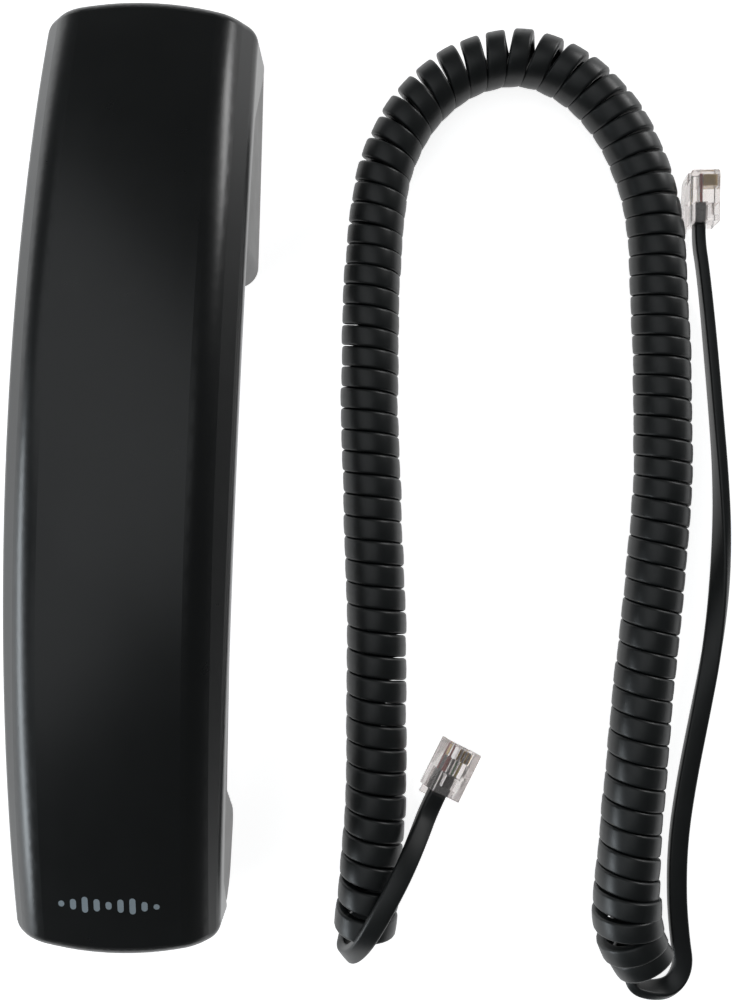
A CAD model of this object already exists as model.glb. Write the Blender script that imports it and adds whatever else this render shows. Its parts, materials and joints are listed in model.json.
"""Looks of a desk telephone handset that lies face down beside its unplugged coiled cord.

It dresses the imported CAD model: the shells keep their CAD shapes and get their plastics, and the
cord's plain tubes are replaced by the real thing, a flat lead wound into a left-handed coil.
Sizes of the object named here are in millimetres. Those of the floor, the lights and the
materials' bumps are in metres, as Blender's are.
"""

import json
import math

import bpy
from mathutils import Matrix, Vector


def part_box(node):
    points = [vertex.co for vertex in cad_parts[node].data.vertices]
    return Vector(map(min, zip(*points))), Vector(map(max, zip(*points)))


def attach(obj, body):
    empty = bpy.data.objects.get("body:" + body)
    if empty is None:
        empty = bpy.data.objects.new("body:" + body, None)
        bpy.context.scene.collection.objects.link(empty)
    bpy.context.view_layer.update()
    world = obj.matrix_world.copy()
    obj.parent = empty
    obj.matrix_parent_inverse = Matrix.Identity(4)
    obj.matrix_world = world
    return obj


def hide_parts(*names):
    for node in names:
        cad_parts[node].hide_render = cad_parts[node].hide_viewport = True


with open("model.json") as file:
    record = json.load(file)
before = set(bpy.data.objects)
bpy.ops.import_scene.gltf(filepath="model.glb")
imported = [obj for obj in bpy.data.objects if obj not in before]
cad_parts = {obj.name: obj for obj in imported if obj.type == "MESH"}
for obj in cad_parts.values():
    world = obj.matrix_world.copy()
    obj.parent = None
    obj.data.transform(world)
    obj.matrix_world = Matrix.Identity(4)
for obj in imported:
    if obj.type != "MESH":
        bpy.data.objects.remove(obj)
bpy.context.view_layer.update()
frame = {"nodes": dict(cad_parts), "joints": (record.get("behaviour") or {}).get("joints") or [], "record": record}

MM = 0.001
UP = Vector((0, 0, 1))
NODES = frame["nodes"]
HANDSET = "handset"


def mm(*numbers):
    """A point or direction given in millimetres, as a Vector in metres."""
    return Vector(numbers) * MM


def route_mm(points):
    return [mm(*p) for p in points]


# ---------------------------------------------------------------- camera
CAMERA_PLACE = mm(46.94, -3.12, 240.0)
CAMERA_TURN = math.radians(2.05)
FOCAL_LENGTH = 39.31


def add_camera():
    """A camera straight above the table, turned a little so that the handset leans."""
    data = bpy.data.cameras.new("camera")
    data.lens = FOCAL_LENGTH
    data.clip_start = 0.01
    camera = bpy.data.objects.new("camera", data)
    camera.matrix_world = Matrix.Translation(CAMERA_PLACE) @ Matrix.Rotation(CAMERA_TURN, 4, "Z")
    bpy.context.scene.collection.objects.link(camera)
    bpy.context.scene.camera = camera


# ---------------------------------------------------------------- the cord's sizes and route
CORD_WIDTH = 4.1
CORD_THICKNESS = 2.3
CORD_CORNER = 0.6
CORD_CROWN = 0.05
FLOOR_GAP = 0.2
COIL_Z = 6.3
# Where round its route the coil starts and ends: 0 is to the right of the way ahead, 90 is up.
FIRST_PHASE = math.radians(285)
LAST_PHASE = math.radians(235)
POINTS_PER_TURN = 14

COIL_ROUTE = [
    (49.8, -94.8, COIL_Z), (51.5, -76.0, COIL_Z), (50.9, -50.0, COIL_Z), (49.9, -24.0, COIL_Z),
    (47.8, 2.0, COIL_Z), (46.5, 27.0, COIL_Z), (46.6, 45.0, COIL_Z), (46.9, 58.0, COIL_Z),
    (49.2, 71.5, COIL_Z), (55.7, 83.3, COIL_Z), (66.5, 91.2, COIL_Z), (79.0, 93.4, COIL_Z),
    (90.4, 88.2, COIL_Z), (99.4, 78.3, COIL_Z), (105.2, 66.0, COIL_Z), (107.5, 52.0, COIL_Z),
    (108.6, 36.0, COIL_Z), (109.9, 17.0, COIL_Z), (110.3, -1.0, COIL_Z), (109.1, -21.0, COIL_Z),
    (107.6, -42.0, COIL_Z), (106.5, -61.0, COIL_Z), (105.9, -76.0, COIL_Z), (105.2, -86.5, COIL_Z),
    (105.9, -92.6, COIL_Z), (108.6, -97.6, COIL_Z), (110.4, -99.9, COIL_Z),
]
# How the coil changes along its way: the share of the way, then its radius, the spacing of its
# turns, and how far a turn's right side leads and its top lags, both as shares of the radius.
COIL_SHAPE = [
    (0.0, 5.5, 5.7, 0.22, 0.20), (0.012, 5.5, 5.3, 0.15, 0.15), (0.03, 5.4, 4.85, 0.0, 0.0),
    (0.12, 5.25, 4.85, 0.0, 0.0), (0.19, 5.1, 4.75, 0.0, 0.0), (0.25, 5.0, 4.45, 0.0, 0.0),
    (0.33, 4.9, 4.25, 0.0, 0.0), (0.38, 4.7, 4.05, 0.0, 0.0), (0.43, 4.65, 4.0, 0.0, 0.0),
    (0.58, 4.65, 4.05, 0.0, 0.0), (0.64, 4.85, 4.2, 0.0, 0.0), (0.75, 5.0, 4.35, 0.0, 0.0),
    (0.84, 5.15, 4.7, 0.0, 0.0), (0.94, 5.4, 4.75, 0.0, 0.0), (0.955, 5.7, 4.15, 0.0, 0.0),
    (0.966, 6.1, 3.7, 0.0, 0.0), (0.982, 6.2, 3.3, 0.0, 0.0), (0.993, 5.5, 3.2, 0.0, 0.0),
    (1.0, 5.1, 3.3, 0.0, 0.0),
]
# The lead is made as wide as the turns' spacing less a gap, within these limits.
NARROWEST = 4.15
WIDEST = 4.6
TURN_GAP = 0.12
# On the inside of a bend the turns touch this far from the coil's middle.
INNER_REACH = 4.6
# How much the turns' radius, place and spacing wander.
RADIUS_WANDER = 0.06
SIDEWAYS_WANDER = 0.14
SPACING_WANDER = 0.006

# Each tail's points run from the coil to the plug: a place, then the way that the side of the lead
# which faces out in the coil faces there.
TAIL_A = [
    ((108.8, -103.2, 2.0), (-0.6, -0.5, -0.6)),
    ((108.2, -106.2, 2.4), (-0.6, -0.7, -0.4)),
    ((112.0, -107.6, 2.45), (-0.1, -0.9, -0.3)),
    ((117.2, -106.8, 2.3), (0.2, -0.5, -0.8)),
    ((119.9, -102.2, 1.7), (0.0, 0.0, -1.0)),
    ((118.9, -96.6, 1.4), (0.0, 0.0, -1.0)),
    ((117.8, -87.0, 1.35), (0.0, 0.0, -1.0)),
    ((117.7, -74.5, 1.35), (0.0, 0.0, -1.0)),
    ((119.2, -61.5, 1.35), (0.0, 0.0, -1.0)),
    ((121.4, -48.0, 1.35), (0.0, 0.0, -1.0)),
    ((123.4, -34.5, 1.9), (0.3, 0.0, -1.0)),
    ((124.5, -21.0, 2.3), (0.6, 0.0, -0.8)),
    ((124.6, -7.0, 2.45), (0.9, 0.0, -0.4)),
    ((123.8, 6.0, 2.35), (1.0, 0.0, -0.1)),
    ((122.4, 18.5, 2.3), (1.0, 0.0, 0.0)),
    ((120.9, 31.0, 2.3), (1.0, 0.0, 0.0)),
    ((119.3, 42.2, 2.8), (1.0, 0.0, 0.05)),
    ((117.8, 50.3, 3.7), (1.0, 0.0, 0.07)),
    ((116.76, 55.1, 4.0), (1.0, 0.0, 0.07)),
    ((116.66, 58.8, 4.0), (1.0, 0.0, 0.07)),
]
TAIL_B = [
    ((49.0, -94.1, 1.4), (0.0, 0.0, -1.0)),
    ((47.1, -95.3, 1.4), (0.0, 0.0, -1.0)),
    ((46.4, -98.6, 1.7), (-0.4, -0.35, -0.85)),
    ((45.8, -100.4, 4.2), (-0.76, -0.65, 0.0)),
    ((46.9, -100.1, 7.4), (-0.5, -0.5, 0.75)),
    ((48.4, -97.9, 10.6), (0.0, -0.3, 1.0)),
    ((50.3, -94.2, 13.6), (0.0, -0.2, 1.0)),
    ((52.4, -90.0, 14.9), (0.0, 0.0, 1.0)),
    ((54.7, -85.4, 14.9), (0.0, 0.0, 1.0)),
    ((57.0, -81.0, 13.9), (0.0, 0.1, 1.0)),
    ((59.0, -77.0, 11.8), (0.1, 0.15, 1.0)),
    ((61.0, -72.9, 8.7), (0.2, 0.2, 1.0)),
    ((62.7, -69.2, 5.75), (0.3, 0.1, 1.0)),
    ((64.6, -65.2, 5.04), (0.37, -0.06, 0.93)),
]


# ---------------------------------------------------------------- the cord
ROUTE_RESOLUTION = 40
TAIL_RESOLUTION = 6
LEAD_RESOLUTION = 2
BEND_REACH = 6
CORNER_STEPS = 4


def spline_points(points, resolution):
    """Points along the NURBS spline that has these control points."""
    curve = bpy.data.curves.new("route", "CURVE")
    curve.dimensions = "3D"
    curve.resolution_u = resolution
    spline = curve.splines.new("NURBS")
    spline.points.add(len(points) - 1)
    for spline_point, place in zip(spline.points, points):
        spline_point.co = (*place, 1)
    spline.order_u = 3
    spline.use_endpoint_u = True
    holder = bpy.data.objects.new("route", curve)
    mesh = bpy.data.meshes.new_from_object(holder)
    line = [v.co.copy() for v in mesh.vertices]
    bpy.data.objects.remove(holder)
    bpy.data.curves.remove(curve)
    bpy.data.meshes.remove(mesh)
    return line


def lengths_along(line):
    total, found = 0.0, [0.0]
    for a, b in zip(line, line[1:]):
        total += (b - a).length
        found.append(total)
    return found


def bend_at(line, along, i):
    """One over the line's bending radius at its point i, evened out over a few points."""
    before, after = max(i - BEND_REACH, 0), min(i + BEND_REACH, len(line) - 1)
    first, last = line[i] - line[before], line[after] - line[i]
    if first.length < 1e-9 or last.length < 1e-9:
        return 0.0
    return first.angle(last) / (0.5 * (along[after] - along[before]))


def unevenness(turn, scale):
    """A small smooth wander, the same in each run, so that no two turns are quite alike."""
    return scale * (0.6 * math.sin(turn * 2.3 + 0.4) + 0.4 * math.sin(turn * 5.1 + 1.7))


def shape_at(share):
    """The coil's radius and its turns' spacing, lean and nod at a share of the way along it."""
    for before, after in zip(COIL_SHAPE, COIL_SHAPE[1:]):
        if share <= after[0]:
            t = max(0.0, (share - before[0]) / (after[0] - before[0]))
            return [a + t * (b - a) for a, b in zip(before[1:], after[1:])]
    return COIL_SHAPE[-1][1:]


def wind(line, along, stretch):
    """The coil's (place, outward direction, width) points along its route, and its last phase."""
    total = along[-1]
    step = 2 * math.pi / POINTS_PER_TURN
    # A quadratic spline runs inside its control polygon, so the control points stand out more.
    stand_out = 1 / (0.75 + 0.25 * math.cos(step))
    found, phase, position, i = [], FIRST_PHASE, 0.0, 0
    while position < total:
        while along[i + 1] < position:
            i += 1
        share = (position - along[i]) / (along[i + 1] - along[i])
        centre = line[i].lerp(line[i + 1], share)
        ahead = (line[i + 1] - line[i]).normalized()
        side = ahead.cross(UP)
        radius, spacing, lean, nod = shape_at(position / total)
        turn = phase / (2 * math.pi)
        radius = (radius + unevenness(turn, RADIUS_WANDER)) * MM
        centre += side * unevenness(turn * 0.43, SIDEWAYS_WANDER) * MM
        centre.z = radius + (CORD_THICKNESS / 2 + FLOOR_GAP) * MM
        outward = side * math.cos(phase) + UP * math.sin(phase)
        centre += ahead * radius * (lean * math.cos(phase) - nod * math.sin(phase))
        width = min(max(spacing - TURN_GAP, NARROWEST), WIDEST)
        found.append((centre + outward * radius * stand_out, outward, width))
        # The turns touch on the inside of a bend, so they stand further apart where it is sharper.
        spacing /= 1 - INNER_REACH * MM * bend_at(line, along, i)
        spacing *= stretch * (1 + unevenness(turn * 0.31 + 2, SPACING_WANDER))
        position += spacing * MM / POINTS_PER_TURN
        phase += step
    return found, phase - step


def helix_points():
    """The points of the left-handed coil, stretched a trace to end at the right phase."""
    line = spline_points(route_mm(COIL_ROUTE), ROUTE_RESOLUTION)
    along = lengths_along(line)
    _, phase = wind(line, along, 1.0)
    whole = round((phase - LAST_PHASE) / (2 * math.pi))
    wanted = LAST_PHASE + 2 * math.pi * whole
    return wind(line, along, (phase - FIRST_PHASE) / (wanted - FIRST_PHASE))[0]


def section_points(width, thickness, corner):
    """The flat lead's section, (across, outward): a rounded oblong with slightly crowned faces."""
    half_width, half_thickness = width / 2, thickness / 2
    outline = []
    for quarter in range(4):
        angle0 = quarter * math.pi / 2
        sign_x = 1 if quarter in (0, 3) else -1
        sign_y = 1 if quarter in (0, 1) else -1
        for k in range(CORNER_STEPS + 1):
            angle = angle0 + k / CORNER_STEPS * math.pi / 2
            x = sign_x * (half_width - corner) + corner * math.cos(angle)
            y = sign_y * (half_thickness - corner) + corner * math.sin(angle)
            outline.append((x * MM, y * MM))
        if quarter in (0, 2):
            outline.append((0.0, sign_y * (half_thickness + CORD_CROWN) * MM))
    return outline


def spread(values, count):
    """The values at count points along a quadratic spline, from those at its control points."""
    spans = len(values) - 2
    found = []
    for k in range(count):
        u = k * spans / (count - 1)
        i = min(int(u), spans - 1)
        t = u - i
        first, middle, last = (1 - t) ** 2 / 2, 0.5 + t - t * t, t * t / 2
        found.append(values[i] * first + values[i + 1] * middle + values[i + 2] * last)
    return found


def sweep(name, line, normals, widths, outline):
    """A closed mesh tube along a line. Its UV map is length along by place around."""
    verts, faces, uvs = [], [], []
    around = len(outline)
    along = lengths_along(line)
    for i, place in enumerate(line):
        ahead = (line[min(i + 1, len(line) - 1)] - line[max(i - 1, 0)]).normalized()
        outward = (normals[i] - ahead * normals[i].dot(ahead)).normalized()
        across = ahead.cross(outward)
        stretch = widths[i] / CORD_WIDTH
        verts += [place + across * x * stretch + outward * y for x, y in outline]
    for i in range(len(line) - 1):
        for j in range(around):
            k = (j + 1) % around
            a, b = i * around, (i + 1) * around
            faces.append((a + j, a + k, b + k, b + j))
            v0, v1 = j / around, (j + 1) / around
            uvs += [(along[i], v0), (along[i], v1), (along[i + 1], v1), (along[i + 1], v0)]
    last = (len(line) - 1) * around
    faces.append(tuple(range(around - 1, -1, -1)))
    faces.append(tuple(range(last, last + around)))
    uvs += [(0.0, 0.0)] * (2 * around)
    mesh = bpy.data.meshes.new(name)
    mesh.from_pydata([v[:] for v in verts], [], faces)
    layer = mesh.uv_layers.new(name="lead")
    layer.data.foreach_set("uv", [c for uv in uvs for c in uv])
    mesh.shade_smooth()
    obj = bpy.data.objects.new(name, mesh)
    bpy.context.scene.collection.objects.link(obj)
    return obj


def tail_points(tail):
    """A tail's (place, flat side, width) points, close enough together to join the coil's."""
    line = spline_points(route_mm(place for place, _ in tail), TAIL_RESOLUTION)
    sides = spread([Vector(side) for _, side in tail], len(line))
    return [(place, side, CORD_WIDTH) for place, side in zip(line, sides)]


def add_cord():
    """The whole lead, from plug B over the coil's end, round its turns and back up to plug A."""
    control = tail_points(TAIL_B[::-1]) + helix_points() + tail_points(TAIL_A)
    line = spline_points([place for place, _, _ in control], LEAD_RESOLUTION)
    normals = spread([side for _, side, _ in control], len(line))
    widths = spread([width for _, _, width in control], len(line))
    outline = section_points(CORD_WIDTH, CORD_THICKNESS, CORD_CORNER)
    cord = sweep("coiled_cord", line, normals, widths, outline)
    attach(cord, HANDSET)
    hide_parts("coil_cord", "tail_a_cord", "tail_b_cord")
    return cord


# ---------------------------------------------------------------- materials
METAL_SHADE = 0.82
HALF_WIRE_ROW = 2.04


class Surface:
    """A node material under construction, with short calls for its most used nodes."""

    def __init__(self, name):
        self.material = bpy.data.materials.new(name)
        self.material.use_nodes = True
        self.tree = self.material.node_tree
        self.shader = self.tree.nodes["Principled BSDF"]

    def set(self, **values):
        for name, value in values.items():
            self.shader.inputs[name.replace("_", " ")].default_value = value
        return self

    def node(self, kind, **values):
        made = self.tree.nodes.new(kind)
        for name, value in values.items():
            setattr(made, name, value)
        return made

    def link(self, source, target):
        self.tree.links.new(source, target)

    def coordinates(self, kind="Object", scale=(1, 1, 1)):
        source = self.node("ShaderNodeTexCoord")
        mapping = self.node("ShaderNodeMapping")
        mapping.inputs["Scale"].default_value = scale
        self.link(source.outputs[kind], mapping.inputs["Vector"])
        return mapping.outputs["Vector"]

    def noise(self, scale, detail=2.0, roughness=0.5, vector=None):
        made = self.node("ShaderNodeTexNoise")
        made.inputs["Scale"].default_value = scale
        made.inputs["Detail"].default_value = detail
        made.inputs["Roughness"].default_value = roughness
        self.link(vector or self.coordinates(), made.inputs["Vector"])
        return made.outputs["Fac"]

    def span(self, value, low, high, from_low=0.0, from_high=1.0):
        made = self.node("ShaderNodeMapRange")
        for name, number in (
            ("From Min", from_low), ("From Max", from_high), ("To Min", low), ("To Max", high),
        ):
            made.inputs[name].default_value = number
        self.link(value, made.inputs["Value"])
        return made.outputs["Result"]

    def ramp(self, value, stops, interpolation="LINEAR"):
        made = self.node("ShaderNodeValToRGB")
        made.color_ramp.interpolation = interpolation
        elements = made.color_ramp.elements
        while len(elements) < len(stops):
            elements.new(0.5)
        for element, (place, colour) in zip(elements, stops):
            element.position = place
            element.color = (*colour, 1)
        self.link(value, made.inputs["Fac"])
        return made.outputs["Color"]

    def roughness_from(self, value, low, high):
        self.link(self.span(value, low, high), self.shader.inputs["Roughness"])

    def bump_from(self, value, strength, distance):
        bump = self.node("ShaderNodeBump")
        bump.inputs["Strength"].default_value = strength
        bump.inputs["Distance"].default_value = distance
        self.link(value, bump.inputs["Height"])
        self.link(bump.outputs["Normal"], self.shader.inputs["Normal"])


def moulded_plastic(name, dark, light, rough_low, rough_high, grain=5200.0, depth=0.25):
    """Textured moulding: a fine spark-eroded grain, a slow drift of tone, an uneven sheen."""
    surface = Surface(name).set(Specular_IOR_Level=0.5)
    drift = surface.noise(38.0, 3.0)
    colour = surface.ramp(drift, [(0.3, dark), (0.7, light)])
    surface.link(colour, surface.shader.inputs["Base Color"])
    surface.roughness_from(surface.noise(160.0, 4.0, 0.6), rough_low, rough_high)
    surface.bump_from(surface.noise(grain, 2.0, 0.55), depth, 0.00002)
    return surface.material


def cord_vinyl():
    """Extruded vinyl: drawn lengthwise, satin, with a faint bloom of dust."""
    surface = Surface("cord_vinyl").set(Specular_IOR_Level=0.5)
    streaks = surface.noise(1.0, 3.0, 0.6, surface.coordinates("UV", (60.0, 26.0, 1.0)))
    cloud = surface.noise(210.0, 4.0, 0.6)
    stops = [(0.3, (0.0060, 0.0072, 0.0074)), (0.72, (0.0098, 0.0115, 0.0118))]
    colour = surface.ramp(cloud, stops)
    surface.link(colour, surface.shader.inputs["Base Color"])
    surface.roughness_from(streaks, 0.34, 0.48)
    surface.bump_from(surface.noise(3600.0, 3.0, 0.6), 0.18, 0.00002)
    return surface.material


def clear_plastic():
    """Clear polycarbonate with faint flow marks."""
    surface = Surface("clear_plastic").set(
        Base_Color=(0.88, 0.845, 0.835, 1),
        Transmission_Weight=0.84,
        IOR=1.30,
        Specular_IOR_Level=0.6,
    )
    surface.roughness_from(surface.noise(700.0, 2.0), 0.02, 0.09)
    surface.bump_from(surface.noise(420.0, 2.0), 0.12, 0.0001)
    return surface.material


def metal(name, colour, rough_low, rough_high, scale=900.0, stretch=(1, 1, 1)):
    """Bare or plated metal with a fine grain in its tone and its sheen."""
    surface = Surface(name).set(Metallic=1.0)
    grain = surface.noise(scale, 3.0, 0.6, surface.coordinates("Object", stretch))
    darker = tuple(c * METAL_SHADE for c in colour)
    tone = surface.ramp(grain, [(0.25, darker), (0.75, colour)])
    surface.link(tone, surface.shader.inputs["Base Color"])
    surface.roughness_from(grain, rough_low, rough_high)
    surface.bump_from(grain, 0.1, 0.00001)
    return surface.material


def wire_colours(name, middle, across):
    """Four insulated wires side by side, told apart by how far they lie across the plug."""
    surface = Surface(name).set(Roughness=0.35)
    source = surface.node("ShaderNodeTexCoord")
    offset = surface.node("ShaderNodeVectorMath", operation="SUBTRACT")
    offset.inputs[1].default_value = middle
    surface.link(source.outputs["Object"], offset.inputs[0])
    measure = surface.node("ShaderNodeVectorMath", operation="DOT_PRODUCT")
    measure.inputs[1].default_value = across
    surface.link(offset.outputs["Vector"], measure.inputs[0])
    half_row = HALF_WIRE_ROW * MM
    place = surface.span(measure.outputs["Value"], 0.0, 1.0, -half_row, half_row)
    colours = [
        (0.0, (0.42, 0.03, 0.02)), (0.25, (0.02, 0.02, 0.02)),
        (0.5, (0.03, 0.20, 0.06)), (0.75, (0.55, 0.42, 0.04)),
    ]
    surface.link(surface.ramp(place, colours, "CONSTANT"), surface.shader.inputs["Base Color"])
    surface.bump_from(surface.noise(2500.0), 0.1, 0.00001)
    return surface.material


def woven_cloth():
    """The receiver's acoustic cloth: matt, with a weave too fine to see from afar."""
    surface = Surface("acoustic_cloth").set(Roughness=0.9, Sheen_Weight=0.3)
    weave = surface.node("ShaderNodeTexChecker")
    weave.inputs["Scale"].default_value = 2400.0
    surface.link(surface.coordinates(), weave.inputs["Vector"])
    stops = [(0.0, (0.008, 0.008, 0.009)), (1.0, (0.03, 0.03, 0.032))]
    colour = surface.ramp(weave.outputs["Fac"], stops)
    surface.link(colour, surface.shader.inputs["Base Color"])
    surface.bump_from(weave.outputs["Fac"], 0.5, 0.00005)
    return surface.material


def plug_axes(name):
    """The middle of a plug's wires and the direction across them."""
    low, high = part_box(f"{name}_wires")
    joint = next(j for j in frame["joints"] if j["child"] == f"{name}_tongue")
    return (Vector(low) + Vector(high)) / 2, -Vector(joint["axis"])


def dress_nodes():
    """Gives each CAD node its material. Returns the materials by slot."""
    cover = moulded_plastic(
        "cover_plastic", (0.0052, 0.0057, 0.0059), (0.0072, 0.0078, 0.0080), 0.25, 0.33
    )
    shell = moulded_plastic(
        "shell_plastic", (0.0180, 0.0170, 0.0160), (0.0240, 0.0225, 0.0210), 0.36, 0.46
    )
    vinyl = cord_vinyl()
    clear = clear_plastic()
    gold = metal("contact_gold", (0.86, 0.62, 0.24), 0.18, 0.32)
    steel = metal("ground_steel", (0.56, 0.57, 0.58), 0.28, 0.45, 700.0, (1, 12, 1))
    zinc = metal("zinc_plate", (0.66, 0.66, 0.62), 0.22, 0.38)
    nickel = metal("nickel_plate", (0.68, 0.66, 0.62), 0.15, 0.28)
    copper = metal("enamelled_wire", (0.72, 0.30, 0.12), 0.25, 0.4, 2500.0, (1, 1, 20))
    rubber = moulded_plastic("soft_rubber", (0.012, 0.012, 0.012), (0.02, 0.02, 0.02), 0.6, 0.75)
    black = moulded_plastic(
        "gloss_moulding", (0.010, 0.010, 0.010), (0.014, 0.014, 0.014), 0.2, 0.3, 2000.0, 0.1
    )
    board = moulded_plastic(
        "solder_mask", (0.006, 0.06, 0.022), (0.010, 0.085, 0.032), 0.25, 0.4, 1500.0, 0.15
    )
    film = moulded_plastic(
        "polyester_film", (0.52, 0.48, 0.34), (0.60, 0.56, 0.42), 0.2, 0.35, 900.0, 0.1
    )
    red = moulded_plastic("lead_insulation", (0.30, 0.02, 0.015), (0.38, 0.03, 0.02), 0.3, 0.45)
    by_slot = {
        "cover_black": cover,
        "shell_grey": shell,
        "cord_pvc": vinyl,
        "clear_plastic": clear,
        "gold": gold,
        "wire_insulation": red,
        "black_moulding": black,
        "soft_rubber": rubber,
        "plain_steel": steel,
        "plated_steel": zinc,
        "magnet_nickel": nickel,
        "enamelled_copper": copper,
        "film": film,
        "cloth": woven_cloth(),
        "board_green": board,
    }
    for part in frame["record"]["subparts"]:
        give(NODES[part["node"]], by_slot[part["material_slot"]])
    for name in ("plug_a", "plug_b"):
        give(NODES[f"{name}_wires"], wire_colours(f"{name}_wire_colours", *plug_axes(name)))
    return by_slot


def give(obj, material):
    obj.data.materials.clear()
    obj.data.materials.append(material)


# ---------------------------------------------------------------- the printed mark
MARK_MIDDLE = (-0.4, -84.0)
MARK_BARS = (1.3, 2.3, 3.5, 2.7, 1.7, 2.9, 3.5, 2.1, 1.2)
MARK_PITCH = 2.33
MARK_BAR_WIDTH = 1.2
INK_THICKNESS = 0.03
ABOVE_HANDSET = 60.0
BAR_END_STEPS = 8


def bar_outline(half_width, half_height):
    """The outline of a bar with round ends."""
    straight = half_height - half_width
    points = []
    for end in (1, -1):
        for k in range(BAR_END_STEPS + 1):
            angle = math.pi * k / BAR_END_STEPS
            x = end * half_width * math.cos(angle)
            y = end * (straight + half_width * math.sin(angle))
            points.append((x, y))
    return points


def add_mark(ink):
    """A row of sound-level bars printed near the mouth end, laid on the cover's own surface."""
    cover = NODES["back_cover"]
    verts, faces = [], []
    for i, height in enumerate(MARK_BARS):
        middle_x = MARK_MIDDLE[0] + (i - (len(MARK_BARS) - 1) / 2) * MARK_PITCH
        outline = bar_outline(MARK_BAR_WIDTH / 2, height / 2)
        start = len(verts)
        for lift in (-INK_THICKNESS, INK_THICKNESS):
            for x, y in outline:
                above = mm(middle_x + x, MARK_MIDDLE[1] + y, ABOVE_HANDSET)
                _, place, _, _ = cover.ray_cast(above, -UP)
                verts.append(place + UP * lift * MM)
        count = len(outline)
        faces.append(tuple(start + count + k for k in range(count)))
        faces.append(tuple(start + k for k in reversed(range(count))))
        faces += [
            (start + k, start + (k + 1) % count, start + count + (k + 1) % count, start + count + k)
            for k in range(count)
        ]
    mesh = bpy.data.meshes.new("printed_level_bars")
    mesh.from_pydata([v[:] for v in verts], [], faces)
    mark = bpy.data.objects.new("printed_level_bars", mesh)
    bpy.context.scene.collection.objects.link(mark)
    give(mark, ink)
    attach(mark, HANDSET)


# ---------------------------------------------------------------- floor and light
FLOOR_REACH = 15.0
FLOOR_DROP = 0.0001
FLOOR_GLOW = 0.85
ROOM_GLOW = 0.09
ROOM_COLOUR = (0.92, 0.98, 1.0, 1)
LIT_SPOT = (0.045, 0.0, 0.0)


def add_floor():
    """A wide matt white floor that glows a little, so that it comes out nearly white."""
    mesh = bpy.data.meshes.new("floor")
    r = FLOOR_REACH
    mesh.from_pydata([(-r, -r, 0), (r, -r, 0), (r, r, 0), (-r, r, 0)], [], [(0, 1, 2, 3)])
    floor = bpy.data.objects.new("floor", mesh)
    floor.location.z = -FLOOR_DROP
    bpy.context.scene.collection.objects.link(floor)
    surface = Surface("floor_white")
    surface.set(Base_Color=(0.93, 0.93, 0.93, 1), Roughness=0.9, Specular_IOR_Level=0.1)
    surface.roughness_from(surface.noise(20.0), 0.85, 0.95)
    surface.set(Emission_Color=(1, 1, 1, 1), Emission_Strength=FLOOR_GLOW)
    give(floor, surface.material)


def add_softbox(name, place, size, power, colour=(1, 1, 1)):
    """A rectangular area light that faces the middle of the object."""
    data = bpy.data.lights.new(name, "AREA")
    data.shape = "RECTANGLE"
    data.size, data.size_y = size
    data.energy = power
    data.color = colour
    light = bpy.data.objects.new(name, data)
    light.location = place
    aim = Vector(LIT_SPOT) - Vector(place)
    light.rotation_euler = aim.to_track_quat("-Z", "Y").to_euler()
    bpy.context.scene.collection.objects.link(light)


def add_light():
    add_softbox("window_left", (-0.90, -0.35, 0.24), (0.9, 0.17), 6.0, (0.88, 0.95, 1.0))
    add_softbox("ceiling", (-0.30, 0.22, 1.0), (0.75, 1.35), 2.2, (0.95, 0.98, 1.0))
    add_softbox("ceiling_left", (-0.46, -0.36, 0.95), (0.45, 0.5), 0.45, (0.95, 0.98, 1.0))
    add_softbox("window_right", (0.75, 0.78, 0.36), (0.45, 0.15), 3.6)
    world = bpy.data.worlds.new("room")
    world.use_nodes = True
    background = world.node_tree.nodes["Background"]
    background.inputs["Color"].default_value = ROOM_COLOUR
    background.inputs["Strength"].default_value = ROOM_GLOW
    bpy.context.scene.world = world
    bpy.context.scene.view_settings.view_transform = "Standard"


# ---------------------------------------------------------------- the scene
add_camera()
cord = add_cord()
materials = dress_nodes()
give(cord, materials["cord_pvc"])
ink_tones = (0.30, 0.36, 0.40), (0.35, 0.41, 0.45)
add_mark(moulded_plastic("print_ink", *ink_tones, 0.4, 0.55, grain=4000.0, depth=0.1))
add_floor()
add_light()
